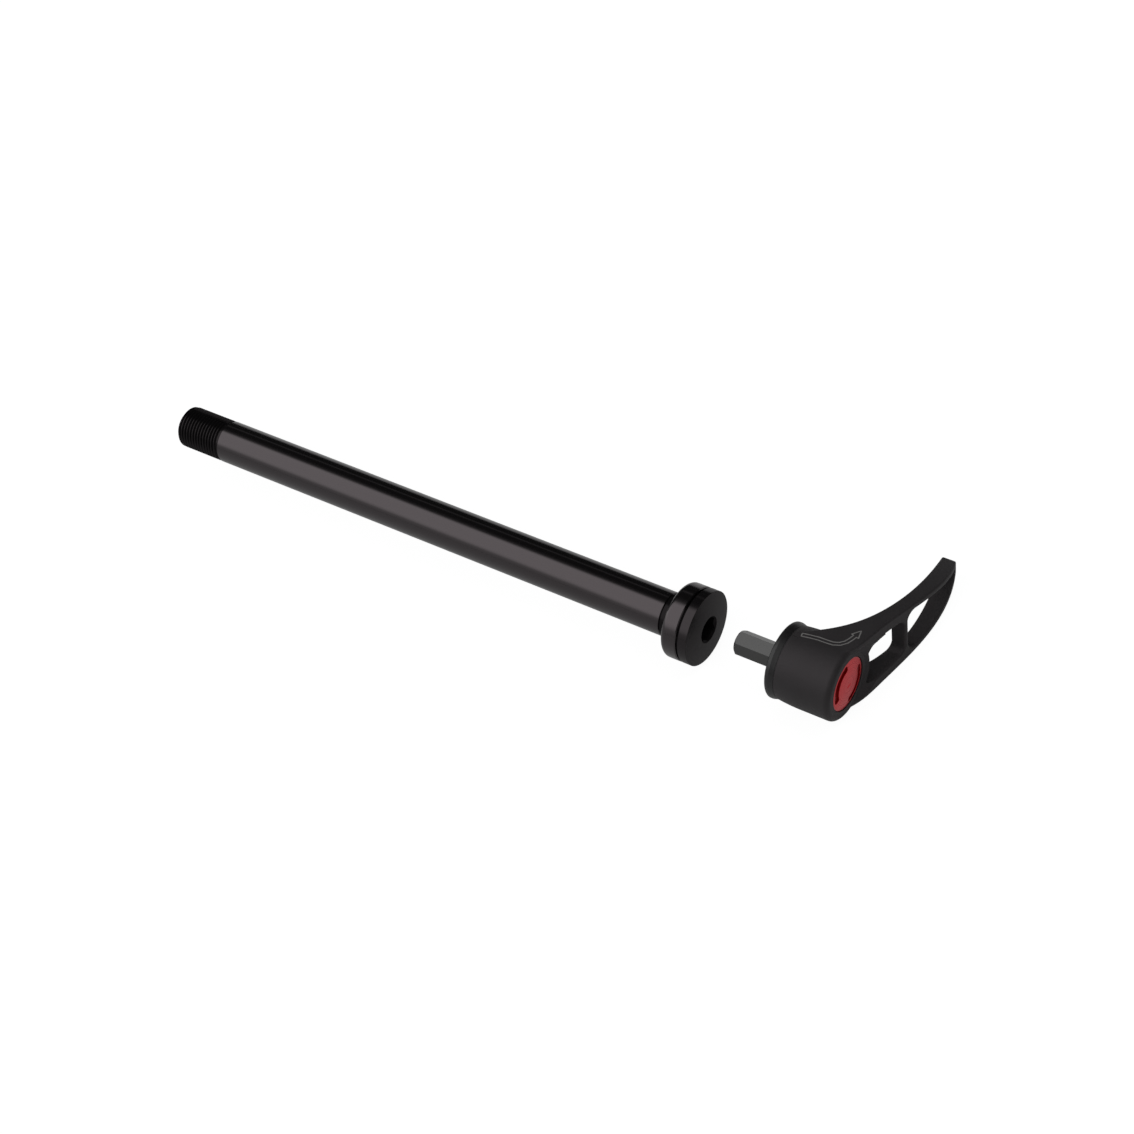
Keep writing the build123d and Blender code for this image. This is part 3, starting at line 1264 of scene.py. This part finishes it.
@dataclass
class View:
    """The photograph's view, in degrees, millimetres and pixels of a square image."""

    azimuth: float = 34.346
    elevation: float = 34.939
    turn_about_axle: float = -18.6
    target_x: float = 8.7
    distance: float = 629.187
    offset_right: float = 36.119
    offset_up: float = -15.940
    focal_px: float = 2475.117
    image_px: float = 1134.0
    sensor: float = 36.0
    clip_start: float = 10.0

    def axes(self) -> Tuple[Vector, Vector, Vector]:
        """Find how the camera is turned.

        Returns:
            Directions to the right, up and back towards the camera.
        """
        azimuth = math.radians(self.azimuth)
        elevation = math.radians(self.elevation)
        flat = Vector((math.sin(azimuth), -math.cos(azimuth), 0.0))
        back = flat * math.cos(elevation) + Vector((0.0, 0.0, math.sin(elevation)))
        right = Vector((math.cos(azimuth), math.sin(azimuth), 0.0))
        turn = Matrix.Rotation(math.radians(self.turn_about_axle), 3, "X")
        return turn @ right, turn @ back.cross(right), turn @ back

    def build(self) -> None:
        """Place the camera."""
        right, up, back = self.axes()
        place = back * self.distance - right * self.offset_right - up * self.offset_up
        place.x += self.target_x
        data = bpy.data.cameras.new("photo_camera")
        data.sensor_width = self.sensor
        data.lens = self.sensor * self.focal_px / self.image_px
        data.clip_start = self.clip_start * MM
        camera = bpy.data.objects.new("photo_camera", data)
        turned = Matrix((right, up, back)).transposed()
        camera.matrix_world = Matrix.Translation(place * MM) @ turned.to_4x4()
        bpy.context.scene.collection.objects.link(camera)
        bpy.context.scene.camera = camera


@dataclass(frozen=True)
class Softbox:
    """One soft area light that faces the object, in metres and watts."""

    name: str
    place: Tuple[float, float, float]
    width: float
    height: float
    power: float

    def build(self, target: Vector) -> None:
        """Hang the light and aim it.

        Args:
            target: the point that it faces, in metres.
        """
        data = bpy.data.lights.new(self.name, "AREA")
        data.shape = "RECTANGLE"
        data.size = self.width
        data.size_y = self.height
        data.energy = self.power
        light = bpy.data.objects.new(self.name, data)
        light.location = self.place
        aim = target - Vector(self.place)
        light.rotation_euler = aim.to_track_quat("-Z", "Y").to_euler()
        light.visible_glossy = False
        bpy.context.scene.collection.objects.link(light)


@dataclass
class Studio:
    """White floor, white surround and soft light.

    The surround gives the brightness that mirrors show, by the angle round the axle's axis in degrees.
    Along the axis it falls from its full value to far_light, between the parts box_start and box_end of a
    unit direction.
    """

    floor_size: float = 6.0
    floor_gap: float = 0.05 * MM
    floor_white: float = 0.7
    floor_glow: float = 1.17
    shown_white: float = 0.8
    mirrored_white: float = 0.12
    ambient: float = 0.4
    box_light: float = 2.4
    box_start: float = -0.15
    box_end: float = 0.2
    far_light: float = 0.25
    surround: Sequence[Tuple[float, float]] = (
        (-180.0, 0.2), (-1.0, 0.2), (1.0, 0.012), (34.0, 0.012), (36.0, 0.12), (39.0, 0.12), (41.0, 0.012),
        (64.0, 0.02), (76.0, 0.1), (87.0, 1.0), (146.0, 1.0), (155.0, 0.84), (164.0, 0.42), (180.0, 0.3),
    )
    lamps: Sequence[Softbox] = (
        Softbox("key_softbox", (-0.25, -0.55, 0.6), width=1.0, height=0.5, power=3.0),
        Softbox("top_softbox", (0.2, 0.35, 0.8), width=0.8, height=0.6, power=1.5),
    )

    def floor_material(self) -> bpy.types.Material:
        """White floor that shows as white and keeps a light shadow.

        Returns:
            The floor's material.
        """
        made = bpy.data.materials.new("studio_floor")
        made.use_nodes = True
        graph = Graph(made.node_tree)
        white = (self.floor_white, self.floor_white, self.floor_white, 1.0)
        matt = graph.node("ShaderNodeBsdfDiffuse", None, {"Color": white})
        lit = graph.node("ShaderNodeEmission", None, {"Strength": self.floor_glow})
        camera = graph.node("ShaderNodeLightPath", output="Is Camera Ray")
        mirror = graph.node("ShaderNodeLightPath", output="Is Glossy Ray")
        through = graph.node("ShaderNodeLightPath", output="Is Transmission Ray")
        share = graph.math("MAXIMUM", camera, through) * self.shown_white + mirror * self.mirrored_white
        surface = graph.node("ShaderNodeMixShader", None, {0: share, 1: matt, 2: lit})
        graph.node("ShaderNodeOutputMaterial", None, {"Surface": surface})
        return made

    def build_floor(self) -> None:
        """Lay the floor under the lowest point of the object."""
        mesh = bmesh.new()
        bmesh.ops.create_grid(mesh, x_segments=1, y_segments=1, size=self.floor_size / 2)
        data = bpy.data.meshes.new("studio_floor")
        mesh.to_mesh(data)
        mesh.free()
        data.materials.append(self.floor_material())
        floor = bpy.data.objects.new("studio_floor", data)
        floor.location.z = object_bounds()[0].z - self.floor_gap
        bpy.context.scene.collection.objects.link(floor)
        floor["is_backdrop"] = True

    def build_world(self) -> None:
        """Surround the object.

        The camera sees white, mirrors see a softbox, and the rest gets grey light.
        """
        world = bpy.data.worlds.new("studio_surround")
        bpy.context.scene.world = world
        world.use_nodes = True
        graph = Graph(world.node_tree)
        toward = graph.node("ShaderNodeTexCoord", output="Generated")
        x, y, z = graph.axes(toward)
        about_axle = graph.math("ARCTAN2", z, y) * (1.0 / FULL_TURN) + 0.5
        stops = [(0.5 + angle / DEGREES_PER_TURN, (share, share, share)) for angle, share in self.surround]
        reach = self.far_light + (1.0 - self.far_light) * graph.smooth_step(x, self.box_end, self.box_start)
        box = graph.node("ShaderNodeValToRGB", {"stops": stops}, {0: about_axle}) * reach * self.box_light
        glossy = graph.node("ShaderNodeLightPath", output="Is Glossy Ray")
        camera = graph.node("ShaderNodeLightPath", output="Is Camera Ray")
        strength = self.ambient + glossy * (box - self.ambient) + camera * (1.0 - self.ambient)
        light = graph.node("ShaderNodeBackground", None, {"Strength": strength})
        graph.node("ShaderNodeOutputWorld", None, {"Surface": light})

    def build(self) -> None:
        """Set up the floor, the surround and the lamps."""
        bpy.context.scene.view_settings.view_transform = "Standard"
        low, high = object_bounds()
        middle = (Vector(low) + Vector(high)) / 2
        self.build_floor()
        self.build_world()
        for lamp in self.lamps:
            lamp.build(middle)


def main() -> None:
    """Build the pieces in order, then the studio."""
    logging.basicConfig(level=logging.INFO, format="%(name)s: %(message)s")
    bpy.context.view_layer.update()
    own = LeverFrame()
    Axle(ScrewThread(), TurnedShaft()).build()
    Stem(ReturnSpring()).build()
    Lever(WindowCorner(own), TurnArrow(own)).build()
    View().build()
    Studio().build()


if __name__ == "__main__":
    main()
